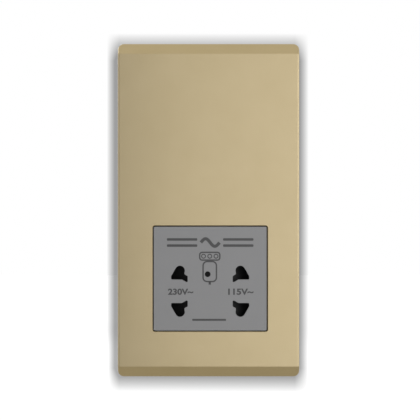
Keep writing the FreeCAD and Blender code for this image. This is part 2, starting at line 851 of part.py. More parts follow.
def plunger_x(gang):
    return outlet_x(gang) - gang * size.plunger_offset


def plunger_section(gang, gap):
    """The plunger's square section, with a gap all round for its hole."""
    width = size.plunger_width + 2 * gap
    return centred_box(plunger_x(gang), OUTLET_Z, width, width)


def make_contact(voltage, row_name):
    """Folded strip: two sprung leaves that pinch a pin, joined at the back of the cell."""
    gang = GANGS[voltage]
    name = f"contact_{voltage}_{row_name}"
    x, z = cell_place(gang, ROWS[row_name])
    half_gap = size.contact_height / 2 - size.contact_thickness / 2
    rear = CELL_REAR - size.contact_rear_gap
    mouth = CARRIER_REAR + size.contact_rear_gap
    pinch = size.contact_pinch / 2
    leaf = [
        (mouth, pinch + size.contact_lip),
        (mouth + size.contact_lead, pinch),
        (rear - size.contact_lead, half_gap),
        (rear, half_gap),
    ]
    route = [(y, z + rise) for y, rise in leaf] + [(y, z - rise) for y, rise in reversed(leaf)]
    line = doc.addObject("Sketcher::SketchObject", f"fold_{name}")
    line.Placement = Placement(Vector(0, 0, 0), SIDE_VIEW)
    bind(line, "Placement.Base.x", x - size.contact_width / 2)
    points = [Vector(number_of(a), number_of(b), 0) for a, b in route]
    for start, end in zip(points, points[1:]):
        line.addGeometry(Part.LineSegment(start, end))
    for index, (a, b) in enumerate(route):
        side, point = (index, 1) if index < len(route) - 1 else (index - 1, 2)
        if 0 < index < len(route) - 1:
            line.addConstraint(Sketcher.Constraint("Coincident", index - 1, 2, index, 1))
        hold(line, "DistanceX", side, point, a)
        hold(line, "DistanceY", side, point, b)
    strip = doc.addObject("Part::Offset2D", f"strip_{name}")
    strip.Source = line
    strip.Mode = "Pipe"
    strip.Join = "Intersection"
    bind(strip, "Value", size.contact_thickness / 2)
    contact = doc.addObject("Part::Extrusion", name)
    contact.Base = strip
    contact.DirMode = "Custom"
    contact.Dir = Vector(1, 0, 0)
    contact.Solid = True
    bind(contact, "LengthFwd", size.contact_width)
    contact.Label = name
    pieces.append(contact)


def make_start_switch(voltage):
    """Small switch on the carrier, with three tags at its back and a well for its plunger."""
    gang = GANGS[voltage]
    switch = new_piece(f"start_switch_{voltage}")
    x = outlet_x(gang)
    rear = CARRIER_REAR + size.switch_depth
    add_pad(switch, "Y", CARRIER_REAR, rear, centred_box(x, OUTLET_Z, size.switch_width, size.switch_height))
    tags = [
        centred_box(x + step * size.switch_tag_pitch, OUTLET_Z, size.switch_tag_width, size.tag_width)
        for step in (-1, 0, 1)
    ]
    add_pad(switch, "Y", rear, rear + size.switch_tag, *tags)
    depth = SHUTTER_REAR + size.plunger_length + size.plunger_gap
    add_cut(switch, "Y", CARRIER_REAR, depth, plunger_section(gang, size.plunger_gap))


def make_plunger(voltage):
    """Square pin with a bevelled tip that rides in the shutter's cam ramp."""
    plunger = new_piece(f"switch_plunger_{voltage}")
    tip = SHUTTER_REAR - size.cam_rise
    add_pad(plunger, "Y", tip, tip + size.plunger_length, plunger_section(GANGS[voltage], ZERO))
    bevel_edges(plunger, size.plunger_width / 4, lambda edge: lies_at_y(edge, tip))


# Rear case

def make_rear_case():
    """Open-fronted case, stepped in at the bottom of its back for the terminals."""
    case = new_piece("rear_case")
    half_width = CASE_HALF
    half_height = CASE_RISE
    step_top = -half_height + size.step_height
    outline = box(-half_width, half_width, -half_height, half_height)
    add_pad(case, "Y", ZERO, size.case_depth, outline)
    round_edges(case, size.case_corner, lambda edge: runs_along_y(edge, outline))
    inner_width = half_width - size.case_wall
    inner_height = half_height - size.case_wall
    inside = box(-inner_width, inner_width, -inner_height, inner_height)
    step_inside = size.step_depth - size.case_wall
    add_cut(case, "Y", ZERO, step_inside, inside)
    deep = box(-inner_width, inner_width, step_top + size.case_wall, inner_height)
    add_cut(case, "Y", step_inside, CASE_INSIDE, deep)
    below = box(-half_width, half_width, -half_height, step_top)
    add_cut(case, "Y", size.step_depth, size.case_depth, below)
    bevel_edges(case, size.case_edge, lambda edge: lies_at_y(edge, size.case_depth))
    flange_half = size.flange_length / 2 + size.shutter_gap
    for x_side in (-1, 1):
        seat_sides = (x_side * inner_width, x_side * half_width)
        seat = span_box(*seat_sides, FACE_Z - flange_half, FACE_Z + flange_half)
        add_cut(case, "Y", ZERO, size.flange_thickness, seat)
    add_case_ears(case, half_height)
    add_clamp_bosses(case, inner_width)
    slots = [centred_box(x, terminal_tail_z(), *tail_slot()) for x in terminal_places()]
    add_cut(case, "Y", step_inside, size.step_depth, *slots)


def add_case_ears(case, half_height):
    hole = size.screw_diameter + 2 * size.screw_gap
    for z_side in (-1, 1):
        for x in sides(size.ear_pitch / 2):
            z = z_side * EAR_RISE
            ear = span_box(
                x - size.ear_width / 2,
                x + size.ear_width / 2,
                z_side * (half_height - size.case_wall),
                z + z_side * size.ear_width / 2,
            )
            add_pad(case, "Y", ZERO, size.ear_thickness, ear)
            add_cut(case, "Y", ZERO, size.ear_thickness, disc(x, z, hole))


def clamp_ear_x():
    return size.core_width / 2 + size.clamp_thickness + size.clamp_ear / 2


def core_levels():
    """The front and back of the core's stack."""
    rear = CASE_INSIDE - size.core_rear
    return rear - size.core_stack, rear


def add_clamp_bosses(case, inner_width):
    rear = core_levels()[1]
    width = size.clamp_ear / 2
    for x_side in (-1, 1):
        boss = span_box(
            x_side * (clamp_ear_x() - width),
            x_side * (inner_width + size.case_wall / 2),
            CORE_RISE - size.clamp_ear_height / 2,
            CORE_RISE + size.clamp_ear_height / 2,
        )
        add_pad(case, "Y", rear, CASE_INSIDE, boss)
        add_stake(case, x_side * clamp_ear_x(), CORE_RISE, rear, size.clamp_thickness, -1)


# Transformer, its laminations in the standard proportions of an EI plate's width
CORE_HEIGHT = size.core_width * 5 / 6
CORE_YOKE = size.core_width / 6
CORE_LEG = size.core_width / 3


def window_width():
    return (size.core_width - 2 * CORE_YOKE - CORE_LEG) / 2


def window_height():
    return CORE_HEIGHT - 2 * CORE_YOKE


def make_core():
    """Stack of E and I laminations, with two windows."""
    core = new_piece("transformer_core")
    front, rear = core_levels()
    centre = CORE_LEG / 2 + window_width() / 2
    windows = [centred_box(x, CORE_RISE, window_width(), window_height()) for x in sides(centre)]
    outline = centred_box(0, CORE_RISE, size.core_width, CORE_HEIGHT)
    add_pad(core, "Y", front, rear, outline, *windows)


def bobbin_section(inset):
    """The bobbin's tube seen from above, grown by an inset: half widths along x and y."""
    return CORE_LEG / 2 + inset, size.core_stack / 2 + inset


def core_middle():
    front, rear = core_levels()
    return (front + rear) / 2


def ring(inner, outer):
    """Two nested boxes about the core leg, for a tube or a winding."""
    y = core_middle()
    return [box(-a, a, y - b, y + b) for a, b in (outer, inner)]


def flange_section():
    half_x = CORE_LEG / 2 + window_width() - size.bobbin_gap
    return half_x, size.core_stack / 2 + size.coil_overhang + size.coil_gap


def bobbin_levels():
    low = CORE_RISE - window_height() / 2 + size.bobbin_gap
    high = CORE_RISE + window_height() / 2 - size.bobbin_gap
    return low, high


def make_bobbin():
    """Two-chamber bobbin on the middle leg: a tube with a flange at each end and one between."""
    bobbin = new_piece("transformer_bobbin")
    low, high = bobbin_levels()
    bore = bobbin_section(size.bobbin_gap)
    tube = bobbin_section(size.bobbin_gap + size.bobbin_wall)
    add_pad(bobbin, "Z", low, high, *ring(bore, tube))
    wall = size.bobbin_wall
    for level in (low, CORE_RISE - wall / 2, high - wall):
        add_pad(bobbin, "Z", level, level + wall, *ring(bore, flange_section()))


def make_winding(name, low, high):
    winding = new_piece(name)
    inner = bobbin_section(size.bobbin_gap + size.bobbin_wall)
    half_x, half_y = flange_section()
    outer = (half_x - size.coil_gap, half_y - size.coil_gap)
    add_pad(winding, "Z", low, high, *ring(inner, outer))
    y = core_middle()
    corners = [(x, y + b) for x in sides(outer[0]) for b in sides(outer[1])]

    def outer_corner(edge):
        bounds = edge.BoundBox
        if bounds.XLength > SAME_PLACE or bounds.YLength > SAME_PLACE:
            return False
        return any(
            abs(bounds.XMin - number_of(a)) < SAME_PLACE
            and abs(bounds.YMin - number_of(b)) < SAME_PLACE
            for a, b in corners
        )

    round_edges(winding, size.coil_corner, outer_corner)


def make_windings():
    """Primary in the lower chamber, tapped secondary in the upper one."""
    low, high = bobbin_levels()
    wall = size.bobbin_wall
    make_winding("primary_winding", low + wall, CORE_RISE - wall / 2)
    make_winding("secondary_winding", CORE_RISE + wall / 2, high - wall)


def make_bobbin_tags():
    """Five solder tags standing on the front edges of the bobbin's flanges."""
    tags = new_piece("bobbin_tags")
    front = core_middle() - flange_section()[1]
    low, high = bobbin_levels()
    wall = size.bobbin_wall
    rows = [(low + wall / 2, (-1, 1)), (high - wall / 2, (-1, 0, 1))]
    centres = [(step * size.tag_pitch, z) for z, steps in rows for step in steps]
    places = [centred_box(x, z, size.tag_width, size.tag_width) for x, z in centres]
    add_pad(tags, "Y", front - size.tag_length / 2, front, *places)


def make_thermal_cutout():
    """Flat cut-out that lies on the front of the primary winding."""
    cutout = new_piece("thermal_cutout")
    half_y = flange_section()[1] - size.coil_gap
    rear = core_middle() - half_y
    low, _ = bobbin_levels()
    z = low + size.bobbin_wall + (window_height() / 2 - size.bobbin_wall) / 2
    outline = centred_box(ZERO, z, size.cutout_length, size.cutout_height)
    add_pad(cutout, "Y", rear - size.cutout_depth, rear, outline)
    bevel_edges(cutout, size.cutout_edge, lambda edge: lies_at_y(edge, rear - size.cutout_depth))


def make_core_clamp():
    """Steel strap over the core, with an ear down each side."""
    clamp = new_piece("core_clamp")
    front, rear = core_levels()
    half = size.core_width / 2
    low = CORE_RISE - CORE_HEIGHT / 2
    high = CORE_RISE + CORE_HEIGHT / 2
    wall = size.clamp_thickness
    strap = [
        (-half - wall, low),
        (-half, low),
        (-half, high),
        (half, high),
        (half, low),
        (half + wall, low),
        (half + wall, high + wall),
        (-half - wall, high + wall),
    ]
    add_pad(clamp, "Y", front, rear, strap)
    for x_side in (-1, 1):
        ear = span_box(
            x_side * (half + wall),
            x_side * (half + wall + size.clamp_ear),
            CORE_RISE - size.clamp_ear_height / 2,
            CORE_RISE + size.clamp_ear_height / 2,
        )
        add_pad(clamp, "Y", rear - wall, rear, ear)
        add_cut(clamp, "Y", rear - wall, rear, stake_hole(x_side * clamp_ear_x(), CORE_RISE))


# Terminals

def terminal_places():
    return [step * size.terminal_pitch for step in (-1, 0, 1)]


def terminal_low():
    return -CASE_RISE + size.terminal_cover


def terminal_tail_z():
    return terminal_low() + size.terminal_length - size.tail_drop


def terminal_middle():
    """The terminals' middle along y."""
    return size.step_depth + size.block_depth / 2


def tail_slot():
    return size.tail_width + 2 * size.terminal_gap, size.tail_strip + 2 * size.terminal_gap


def make_terminal_block():
    """Block on the case's step, with three cells open at the bottom for the wires."""
    block = new_piece("terminal_block")
    low = -CASE_RISE
    high = low + size.step_height
    rear = size.step_depth + size.block_depth
    outline = box(-size.block_width / 2, size.block_width / 2, low, high)
    add_pad(block, "Y", size.step_depth, rear, outline)
    room = size.terminal_size + 2 * size.terminal_gap
    top = terminal_low() + size.terminal_length + size.terminal_gap
    cells = [centred_box(x, terminal_middle(), room, room) for x in terminal_places()]
    add_cut(block, "Z", low, top, *cells)
    head = size.screw_head + 2 * size.screw_gap
    screws = [disc(x, terminal_screw_z(), head) for x in terminal_places()]
    add_cut(block, "Y", terminal_middle(), rear, *screws)
    slots = [centred_box(x, terminal_tail_z(), *tail_slot()) for x in terminal_places()]
    add_cut(block, "Y", size.step_depth, terminal_middle(), *slots)


def terminal_screw_z():
    return terminal_low() + size.terminal_screw_rise


def make_terminal(name, step):
    """Brass block with a wire bore from below, a screw hole at the back and a tail inwards."""
    terminal = new_piece(name)
    x = step * size.terminal_pitch
    low = terminal_low()
    high = low + size.terminal_length
    middle = terminal_middle()
    half = size.terminal_size / 2
    add_pad(terminal, "Z", low, high, centred_box(x, middle, size.terminal_size, size.terminal_size))
    add_cut(terminal, "Z", low, high - size.wire_stop, disc(x, middle, size.wire_bore))
    hole = disc(x, terminal_screw_z(), size.screw_diameter + 2 * size.screw_gap)
    add_cut(terminal, "Y", middle, middle + half, hole)
    tail = centred_box(x, terminal_tail_z(), size.tail_width, size.tail_strip)
    add_pad(terminal, "Y", size.step_depth - size.tail_reach, middle - half, tail)


# Earth clip

def make_earth_clip():
    """Bronze leaf screwed flat on the frame, sprung up against the inside of the plate."""
    clip = new_piece("earth_clip")
    wall = size.contact_thickness
    foot = -size.frame_thickness
    top = PLATE_INSIDE
    z = size.earth_clip_rise
    x = size.plate_width / 2 - size.earth_clip_inset
    leaf = [
        (foot - wall, z),
        (foot, z),
        (foot, z + size.earth_clip_foot),
        (top + wall, z + 2 * size.earth_clip_foot),
        (top + wall, z + 2 * size.earth_clip_foot + size.earth_clip_tip),
        (top, z + 2 * size.earth_clip_foot + size.earth_clip_tip),
        (top, z + 2 * size.earth_clip_foot - wall),
        (foot - wall, z + size.earth_clip_foot - wall),
    ]
    add_pad(clip, "X", x - size.earth_clip_width / 2, x + size.earth_clip_width / 2, leaf)


# Screws

def make_screws(name, places, seat, top, end, head):
    """Slotted screws along y, driven from behind: a head from seat to top, a shank to end."""
    screws = new_piece(name)
    shank = size.screw_diameter / 2 - size.screw_gap
    profile = [(ZERO, end), (shank, end), (shank, seat), (head, seat), (head, top), (ZERO, top)]
    for centre in places:
        add_turned(screws, centre, profile)
    slots = [centred_box(x, z, size.screw_head, size.screw_slot) for x, z in places]
    add_cut(screws, "Y", top - size.screw_slot_depth, top, *slots)


def make_case_screws():
    """Screws through the case's ears into the frame's posts."""
    places = [(x, z) for x in sides(size.ear_pitch / 2) for z in sides(EAR_RISE)]
    seat = size.ear_thickness
    top = seat + size.screw_head_height
    make_screws("case_screws", places, seat, top, seat - size.screw_bite, size.screw_head / 2)


def make_terminal_screws():
    """Clamping screws let into the block's back, their ends near the wires."""
    places = [(x, terminal_screw_z()) for x in terminal_places()]
    seat = terminal_middle() + size.terminal_size / 2 + size.terminal_gap
    top = seat + size.screw_head_height
    end = terminal_middle() + size.wire_bore / 2
    make_screws("terminal_screws", places, seat, top, end, size.screw_head / 2 - size.screw_gap)


def write_pieces():
    """Check every object and every piece, then write one file for each piece."""
    doc.recompute()
    failed = [item.Label for item in doc.Objects if "Invalid" in item.State or "Error" in item.State]
    if failed:
        raise RuntimeError(f"failed: {failed}")
    for piece in pieces:
        if piece.Shape.isNull() or not piece.Shape.isValid():
            raise RuntimeError(f"{piece.Label} is not a valid shape")
    os.makedirs("parts", exist_ok=True)
    for piece in pieces:
        piece.Shape.exportStep(f"parts/{piece.Label}.step")


make_front_plate()
make_mounting_frame()
make_socket_face()
for voltage in GANGS:
    make_shutter(voltage)
    make_shutter_spring(voltage)
    make_start_switch(voltage)
    make_plunger(voltage)
    for row_name in ROWS:
        make_contact(voltage, row_name)
make_contact_carrier()
make_rear_case()
make_core()
make_bobbin()
make_windings()
make_bobbin_tags()
make_thermal_cutout()
make_core_clamp()
make_terminal_block()
for step, terminal_name in ((-1, "live_terminal"), (0, "earth_terminal"), (1, "neutral_terminal")):
    make_terminal(terminal_name, step)
make_terminal_screws()
make_earth_clip()
make_case_screws()
write_pieces()
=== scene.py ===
# A two-gang shaver socket, seen straight from the front against a white wall.
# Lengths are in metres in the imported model's frame: x to the right, y into the wall, z up.
import math

import bpy
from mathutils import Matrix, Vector


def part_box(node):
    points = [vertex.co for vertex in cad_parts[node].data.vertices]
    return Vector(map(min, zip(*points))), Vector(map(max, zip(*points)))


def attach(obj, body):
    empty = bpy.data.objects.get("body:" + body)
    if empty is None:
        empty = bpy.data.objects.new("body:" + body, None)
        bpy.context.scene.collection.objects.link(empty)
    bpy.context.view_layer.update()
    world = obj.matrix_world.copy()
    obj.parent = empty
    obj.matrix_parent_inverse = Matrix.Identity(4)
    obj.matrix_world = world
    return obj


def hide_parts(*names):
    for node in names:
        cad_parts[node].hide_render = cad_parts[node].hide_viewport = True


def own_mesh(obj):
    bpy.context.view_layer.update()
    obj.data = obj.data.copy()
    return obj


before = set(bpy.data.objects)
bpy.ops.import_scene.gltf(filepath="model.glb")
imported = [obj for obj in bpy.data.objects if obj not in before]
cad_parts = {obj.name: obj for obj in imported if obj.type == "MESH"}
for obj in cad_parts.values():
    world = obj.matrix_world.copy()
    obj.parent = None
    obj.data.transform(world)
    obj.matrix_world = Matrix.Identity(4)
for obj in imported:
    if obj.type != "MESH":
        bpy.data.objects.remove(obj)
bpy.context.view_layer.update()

MM = 0.001

# The face's front level and the height of its middle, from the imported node. Its window in the
# plate has its middle this much to the right of the plate's.
face_low, face_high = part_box("socket_face")
FACE_FRONT = face_low.y
FACE_X = 0.75 * MM
FACE_Z = (face_low.z + face_high.z) / 2

# Vertices nearer than this are one
MERGE = 0.0005 * MM

# Printing ink lies this high on the face, and its strokes are this wide
INK = 0.03 * MM
STROKE = 0.68 * MM

# A bar's corners are rounded by this share of its narrow side
BAR_CORNER = 0.3

# Marks on the face, measured from its middle
RULE_RISE = 17.1 * MM
RULE_LENGTH = 14.4 * MM
RULE_STEP = 2.9 * MM
RULE_REACH = 13.3 * MM
WAVE_WIDTH = 8.8 * MM
WAVE_HEIGHT = 3.6 * MM
RULE_STROKE = 1.2 * MM
WAVE_STROKE = 1.5 * MM
VOLTAGE_RISE = -6.2 * MM
VOLTAGE_HEIGHT = 3 * MM
VOLTAGE_WIDTH = 12 * MM
VOLTAGE_WEIGHT = 0.036
VOLTAGE_X = {"230": -14 * MM, "115": 14.5 * MM}
LETTER_STEPS = 4
FOOT_X = -0.5 * MM
FOOT_RISE = -19.5 * MM
FOOT_WIDTH = 16 * MM
FOOT_STROKE = 1.4 * STROKE
SHAVER_X = -0.2 * MM
SHAVER_Z = 4.8 * MM
SHAVER_WIDTH = 10.2 * MM
SHAVER_HEIGHT = 15.3 * MM
DOT_X = -1.2 * MM
DOT_Z = 2.1 * MM
DOT_DIAMETER = 2.7 * MM
DOT_SIDES = 32

# The printed shaver's parts as shares of the whole: its body, its top and the rings of the heads
BODY_WIDTH = 0.62
BODY_HEIGHT = 0.62
BODY_CORNER = 0.3
TOP_HEIGHT = 0.24
TOP_CORNER = 0.32
HEAD_PITCH = 0.29
HEAD_SIZE = 0.5
HEAD_CORNER = 0.24
HEAD_STROKE = 0.7 * STROKE
CORD_STROKE = 1.6 * STROKE

# Marks on the terminal block's back, raised by this much
MARK_RELIEF = 0.25 * MM
MARK_HEIGHT = 3 * MM
MARK_Z = -44.2 * MM
MARK_STROKE = 0.5 * MM
EARTH_BARS = 3

# Shutter springs
SPRING_TURNS = 4
SPRING_WIRE = 0.45 * MM
WIRE_SIDES = 10
TURN_STEPS = 28

# Real sizes in the materials, in millimetres: flow marks, clouds, turns of wire and steel plates
FLOW_MARKS = 9
METAL_CLOUDS = 14
OXIDE_PATCHES = 4
WIRE_PITCH = 0.5
STEEL_PITCH = 0.5

# How far the roughness swings either way
MOULDED_SWING = 0.06
METAL_SWING = 0.05

# Floor, a little below the picture. Its glow is a share of white, less near the object.
FLOOR_SIZE = 6
FLOOR_COLOUR = "#E2E2E2"
FLOOR_Z = -0.115
FLOOR_GLOW = (0.36, 0.6)
FLOOR_REACH = (0.45, 1.3)

# The plate's shadow on the wall: for each side, the axis, where it starts and how far in it is
# full. Its depth is the share of white that it takes away as the eye counts it, up to a limit, and
# the power turns that to light.
SHADOW_Y = 0.05 * MM
SHADOW_MARGIN = 9 * MM
PLATE_CORNER = 2.8 * MM
PLATE_CORNER_STEPS = 6
SHADOW_SIDES = (
    ("X", -48.53 * MM, 5.83 * MM),
    ("X", 47.75 * MM, -6.64 * MM),
    ("Z", 84.46 * MM, -13.27 * MM),
    ("Z", -87.15 * MM, 11.8 * MM),
)
SHADOW_DEPTH = 0.6
SHADOW_LIMIT = 0.385
SHADOW_POWER = 2.2

# Cards that only reflections see: name, place, width and height, turn about y, colour and light.
# The first darkens the brass's left, the next two shade its bevels, and the last lights its right.
CARDS = (
    ("side_card", (-0.05, -0.0725, 0.02), (0.36, 0.115), 90, "#FFFFFF", 0.4),
    ("low_card", (0, -0.01, -0.1), (0.5, 0.1), 0, "#FFF9E6", 0.66),
    ("high_card", (0, -0.01, 0.1), (0.5, 0.1), 0, "#FFFBEE", 1),
    ("front_card", (0.37, -0.5, -0.113), (0.7, 0.7), 0, "#FFFFFF", 2),
)

# Lamps: name, place, width and height, and power in watts. All are turned to one point.
LAMPS = (
    ("right_lamp", (0.55, -0.75, 0.15), (0.5, 0.8), 2.95),
    ("top_lamp", (0, -0.6, 0.7), (0.8, 0.6), 0.8),
    ("rear_lamp", (-0.4, 0.7, 0.4), (0.6, 0.6), 3),
)
LAMP_AIM = (0, 0, -0.02)

# The world's share of white, where it lights the object and where it is seen
WORLD_LIGHT = 0.6
WORLD_SEEN = 1

# Camera: 420 pixels over the frame's width, 0.4734 mm each on the plate's front. The plate's middle
# is at this pixel.
PIXELS = 420
PIXEL = 0.4734 * MM
SENSOR = 36
LENS = 200
NEAREST = 0.01
FARTHEST = 20
PLATE_PIXEL_X = 208.6
PLATE_PIXEL_Y = 210.2


# Objects

def deselect():
    bpy.ops.object.select_all(action="DESELECT")


def pick(piece):
    """Select one piece alone, for the operators that follow."""
    deselect()
    piece.select_set(True)
    bpy.context.view_layer.objects.active = piece


def settle(piece, name, material, body="housing"):
    """Put a finished piece's place in its mesh, name it, and let it ride with its body."""
    pick(piece)
    bpy.ops.object.transform_apply(location=True, rotation=True, scale=True)
    bpy.ops.object.mode_set(mode="EDIT")
    bpy.ops.mesh.select_all(action="SELECT")
    bpy.ops.mesh.remove_doubles(threshold=MERGE)
    bpy.ops.mesh.normals_make_consistent(inside=False)
    bpy.ops.object.mode_set(mode="OBJECT")
    piece.name = name
    piece.data.name = name
    piece.data.materials.clear()
    piece.data.materials.append(material)
    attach(piece, body)
    return piece


def join(pieces):
    """Make one piece of several."""
    deselect()
    for piece in pieces:
        piece.select_set(True)
    bpy.context.view_layer.objects.active = pieces[0]
    bpy.ops.object.join()
    return bpy.context.view_layer.objects.active


# Nodes. A colour mix takes its two colours in these sockets, which share their names with others.

MIX_FIRST = 6
MIX_SECOND = 7


def linear(code):
    """An sRGB hex colour as linear red, green, blue and alpha."""
    shares = [int(code[i:i + 2], 16) / 255 for i in (1, 3, 5)]
    return [s / 12.92 if s <= 0.04045 else ((s + 0.055) / 1.055) ** 2.4 for s in shares] + [1]


def per_metre(millimetres):
    """The texture scale at which one cell has this real size."""
    return 1 / (millimetres * MM)


def add_node(material, kind, settings=None, inputs=None):
    """A node with its settings; each input is a value or another node's output."""
    node = material.node_tree.nodes.new(kind)
    for name, value in (settings or {}).items():
        setattr(node, name, value)
    for name, value in (inputs or {}).items():
        if isinstance(value, bpy.types.NodeSocket):
            material.node_tree.links.new(value, node.inputs[name])
        else:
            node.inputs[name].default_value = value
    return node


def start_material(name):
    """A material with no nodes yet."""
    material = bpy.data.materials.new(name)
    material.use_nodes = True
    material.node_tree.nodes.clear()
    return material


def end_material(material, surface):
    """Give a material its surface."""
    add_node(material, "ShaderNodeOutputMaterial", {}, {"Surface": surface})
    return material


def moulded(name, colour, shade, roughness, grain, depth, gloss=0.5):
    """Moulded plastic: a spark-eroded grain, its size and depth in millimetres, and flow marks."""
    material = start_material(name)
    place = add_node(material, "ShaderNodeTexCoord").outputs["Object"]
    flow = add_node(
        material,
        "ShaderNodeTexNoise",
        {},
        {"Vector": place, "Scale": per_metre(FLOW_MARKS), "Detail": 3},
    )
    tint = add_node(
        material,
        "ShaderNodeMix",
        {"data_type": "RGBA"},
        {"Factor": flow.outputs[0], MIX_FIRST: linear(colour), MIX_SECOND: linear(shade)},
    )
    eroded = add_node(
        material,
        "ShaderNodeTexNoise",
        {},
        {"Vector": place, "Scale": per_metre(grain), "Detail": 2},
    )
    bump = add_node(
        material,
        "ShaderNodeBump",
        {},
        {"Height": eroded.outputs[0], "Distance": depth * MM, "Strength": 0.6},
    )
    polish = add_node(
        material,
        "ShaderNodeMapRange",
        {},
        {
            "Value": eroded.outputs[0],
            "To Min": roughness - MOULDED_SWING,
            "To Max": roughness + MOULDED_SWING,
        },
    )
    shader = add_node(
        material,
        "ShaderNodeBsdfPrincipled",
        {},
        {
            "Base Color": tint.outputs[2],
            "Roughness": polish.outputs["Result"],
            "Normal": bump.outputs["Normal"],
            "IOR": 1.52,
            "Specular IOR Level": gloss,
        },
    )
    return end_material(material, shader.outputs["BSDF"])


def metal(name, colour, shade, roughness, grain, stretch, depth):
    """Bare metal: a grain drawn out along one axis by rolling or brushing, in millimetres."""
    material = start_material(name)
    place = add_node(material, "ShaderNodeTexCoord").outputs["Object"]
    drawn = add_node(material, "ShaderNodeMapping", {}, {"Vector": place, "Scale": stretch})
    cloud = add_node(
        material,
        "ShaderNodeTexNoise",
        {},
        {"Vector": place, "Scale": per_metre(METAL_CLOUDS), "Detail": 2},
    )
    lines = add_node(
        material,
        "ShaderNodeTexNoise",
        {},
        {"Vector": drawn.outputs["Vector"], "Scale": per_metre(grain), "Detail": 3},
    )
    tint = add_node(
        material,
        "ShaderNodeMix",
        {"data_type": "RGBA"},
        {"Factor": cloud.outputs[0], MIX_FIRST: linear(colour), MIX_SECOND: linear(shade)},
    )
    bump = add_node(
        material,
        "ShaderNodeBump",
        {},
        {"Height": lines.outputs[0], "Distance": depth * MM, "Strength": 0.4},
    )
    polish = add_node(
        material,
        "ShaderNodeMapRange",
        {},
        {
            "Value": lines.outputs[0],
            "To Min": roughness - METAL_SWING,
            "To Max": roughness + METAL_SWING,
        },
    )
    shader = add_node(
        material,
        "ShaderNodeBsdfPrincipled",
        {},
        {
            "Base Color": tint.outputs[2],
            "Metallic": 1,
            "Roughness": polish.outputs["Result"],
            "Normal": bump.outputs["Normal"],
        },
    )
    return end_material(material, shader.outputs["BSDF"])


def enamelled_wire():
    """Copper wire under clear enamel, wound level: each turn a ridge, painted darker in its grooves
    as shade.
    """
    material = start_material("enamelled copper wire")
    place = add_node(material, "ShaderNodeTexCoord").outputs["Object"]
    turns = add_node(
        material,
        "ShaderNodeTexWave",
        {"wave_type": "BANDS", "bands_direction": "Z", "wave_profile": "SIN"},
        {"Vector": place, "Scale": per_metre(WIRE_PITCH) / (2 * math.pi), "Distortion": 0.3},
    )
    # Painted shade: the colour goes dark red brown in the grooves between turns and stays copper on
    # their crests
    tint = add_node(
        material,
        "ShaderNodeMix",
        {"data_type": "RGBA"},
        {"Factor": turns.outputs[0], MIX_FIRST: linear("#5E2A12"), MIX_SECOND: linear("#B9622F")},
    )
    bump = add_node(
        material,
        "ShaderNodeBump",
        {},
        {"Height": turns.outputs[0], "Distance": 0.12 * MM, "Strength": 0.8},
    )
    shader = add_node(
        material,
        "ShaderNodeBsdfPrincipled",
        {},
        {
            "Base Color": tint.outputs[2],
            "Metallic": 1,
            "Roughness": 0.32,
            "Normal": bump.outputs["Normal"],
            "Coat Weight": 0.6,
            "Coat Roughness": 0.12,
        },
    )
    return end_material(material, shader.outputs["BSDF"])


def stacked_laminations():
    """Silicon steel plates stacked front to back: dark with oxide, a line at each plate."""
    material = start_material("stacked silicon steel")
    place = add_node(material, "ShaderNodeTexCoord").outputs["Object"]
    plates = add_node(
        material,
        "ShaderNodeTexWave",
        {"wave_type": "BANDS", "bands_direction": "Y", "wave_profile": "SIN"},
        {"Vector": place, "Scale": per_metre(STEEL_PITCH) / (2 * math.pi), "Distortion": 0.2},
    )
    oxide = add_node(
        material,
        "ShaderNodeTexNoise",
        {},
        {"Vector": place, "Scale": per_metre(OXIDE_PATCHES), "Detail": 5},
    )
    tint = add_node(
        material,
        "ShaderNodeMix",
        {"data_type": "RGBA"},
        {"Factor": oxide.outputs[0], MIX_FIRST: linear("#4A4B50"), MIX_SECOND: linear("#6E675F")},
    )
    bump = add_node(
        material,
        "ShaderNodeBump",
        {},
        {"Height": plates.outputs[0], "Distance": 0.08 * MM, "Strength": 0.7},
    )
    shader = add_node(
        material,
        "ShaderNodeBsdfPrincipled",
        {},
        {
            "Base Color": tint.outputs[2],
            "Metallic": 1,
            "Roughness": 0.48,
            "Normal": bump.outputs["Normal"],
        },
    )
    return end_material(material, shader.outputs["BSDF"])


# Finishes

# Pressed, brushed finely down its length and lacquered: a satin sheen, drawn out across the plate
satin_brass = metal("satin brass", "#B3A484", "#AD9E7D", 0.42, 0.5, (1, 1, 0.06), 0.004)
# Moulded in a spark-eroded tool: an even grey with a soft sheen
face_plastic = moulded("satin grey polycarbonate", "#858586", "#828283", 0.5, 0.35, 0.01)
# Moulded and unpainted: black and dull, so that the openings look empty
shutter_plastic = moulded("black acetal", "#0B0B0C", "#0E0E0F", 0.62, 0.3, 0.01)
# Moulded without a dye: a warm white, faintly uneven
frame_plastic = moulded("natural nylon", "#E4E1D6", "#DAD6C8", 0.55, 0.5, 0.015)
# Glass fibre near the skin: charcoal, coarse in grain and nearly dull
case_plastic = moulded("black glass-filled nylon", "#26272A", "#2E2F33", 0.6, 0.6, 0.03)
# Moulded without glass: darker and smoother than the case
block_plastic = moulded("black polyamide", "#1E1F21", "#26272A", 0.5, 0.45, 0.015)
# Pressed hot: hard, cream coloured, with an even sheen
carrier_plastic = moulded("cream urea", "#DDD8C8", "#D2CCBA", 0.48, 0.4, 0.01)
# Moulded without a dye: ivory and waxy
bobbin_plastic = moulded("ivory nylon bobbin", "#D8D2BC", "#CBC4AC", 0.5, 0.5, 0.01)
# Pressed in a polished tool: nearly black with a clear sheen
switch_plastic = moulded("black phenolic", "#17181A", "#202124", 0.34, 0.4, 0.008)
# Moulded and dyed: a plain red, slightly waxy
plunger_plastic = moulded("red acetal", "#B23A26", "#A43322", 0.4, 0.3, 0.006)
# Moulded in a polished tool: buff, fairly glossy
cutout_plastic = moulded("buff polyester cap", "#D9CFAF", "#CBC09C", 0.36, 0.5, 0.008)
# A thin film put on by a pad: flat dark grey
ink = moulded("grey pad-printing ink", "#3C3C3D", "#404041", 0.6, 0.2, 0.002)
